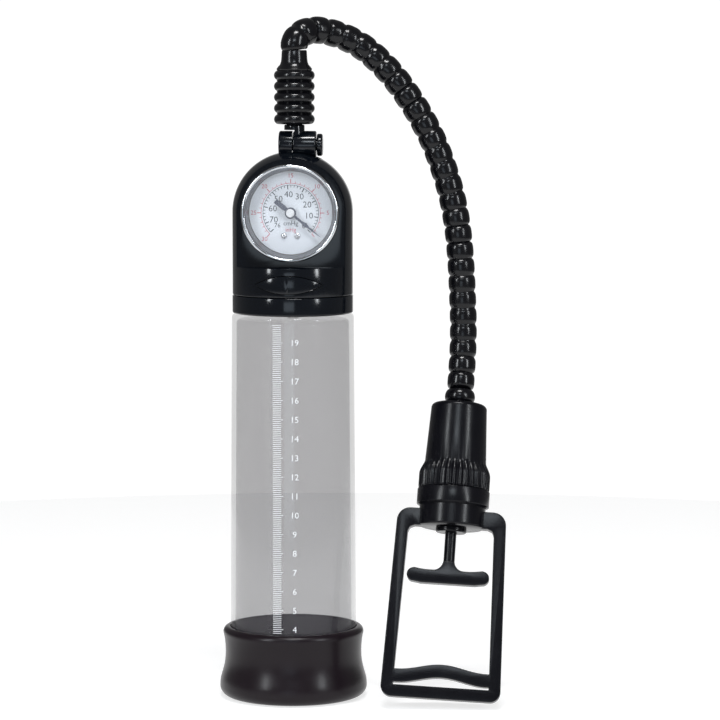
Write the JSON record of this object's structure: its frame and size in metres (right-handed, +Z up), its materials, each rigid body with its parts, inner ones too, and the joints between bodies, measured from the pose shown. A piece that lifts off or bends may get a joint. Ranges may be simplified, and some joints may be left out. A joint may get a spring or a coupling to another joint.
{
  "type": "hand vacuum pump",
  "caption": "Hand vacuum pump: clear graduated cylinder with soft base seal and gauge head, joined by a corrugated hose to a squeeze-handle piston pump.",
  "frame": {"origin": "bottom centre of the object's box, on the plane that the base sleeve stands on", "axes": "+Z up along the clear cylinder, -Y towards the gauge's face, +X from the cylinder towards the hand pump"},
  "size_m": [0.1518, 0.0778, 0.3581],
  "materials": {
    "clear_plastic": "clear smoke-tinted acrylic, polished",
    "black_rubber": "soft black rubber, slight sheen",
    "gloss_black": "gloss black moulding",
    "satin_black": "satin to gloss black moulding",
    "chrome": "polished",
    "steel": "plain bright steel",
    "brass": "machined",
    "lens_glass": "clear",
    "dial_white": "matt white print",
    "needle_slate": "dark slate paint",
    "cap_white": "white"
  },
  "bodies": {
    "cylinder": {"cylinder_tube": "clear_plastic", "base_sleeve": "black_rubber", "tube_gasket": "black_rubber", "head_base": "gloss_black", "head_body": "gloss_black", "air_manifold": "satin_black", "air_riser": "black_rubber", "gauge_case": "satin_black", "gauge_bezel": "chrome", "gauge_lens": "lens_glass", "gauge_dial": "dial_white", "dial_screw_left": "steel", "dial_screw_right": "steel", "gauge_socket": "brass", "bourdon_tube": "brass", "movement_frame": "brass", "button_spring": "steel", "valve_seal": "black_rubber", "swivel_pin": "gloss_black"},
    "pointer": {"needle": "needle_slate", "needle_cap": "cap_white", "needle_shaft": "brass"},
    "sector": {"sector_gear": "brass"},
    "button": {"release_button": "gloss_black"},
    "hand_pump": {"hose_elbow": "gloss_black", "hose_sleeve": "black_rubber", "hose": "black_rubber", "hose_cuff": "black_rubber", "pump_barrel": "satin_black", "inlet_valve": "black_rubber", "frame_handle": "satin_black", "rod_bush": "satin_black", "return_spring": "steel"},
    "plunger": {"t_handle": "satin_black", "piston": "satin_black", "piston_seal": "black_rubber", "piston_screw": "steel", "exhaust_valve": "black_rubber"}
  },
  "joints": [
    {"name": "sector_turn", "type": "hinge", "parent": "cylinder", "child": "sector", "pos_m": [-0.02603, 0, 0.2502], "axis": [0, -1, 0], "range_deg": [-43.6, 0], "stiffness_Nm_per_rad": 0.0005, "springref_deg": 5.73},
    {"name": "needle_turn", "type": "hinge", "parent": "cylinder", "child": "pointer", "pos_m": [-0.03694, 0, 0.2565], "axis": [0, -1, 0], "range_deg": [0, 262]},
    {"name": "release_press", "type": "slide", "parent": "cylinder", "child": "button", "axis": [0, 1, 0], "range_m": [0, 0.002], "stiffness_N_per_m": 400, "springref_m": -0.002, "deforming": ["button_spring"]},
    {"name": "hose_swivel", "type": "hinge", "parent": "cylinder", "child": "hand_pump", "pos_m": [-0.03694, 0, 0.2916], "axis": [1, 0, 0], "range_deg": [-60, 60]},
    {"name": "plunger_pull", "type": "slide", "parent": "hand_pump", "child": "plunger", "axis": [-0.0534, -0.289, -0.9558], "range_m": [0, 0.03], "stiffness_N_per_m": 250, "springref_m": -0.01, "deforming": ["return_spring"]}
  ],
  "couplings": [
    {"joint": "needle_turn", "follows": "sector_turn", "ratio": -6}
  ]
}
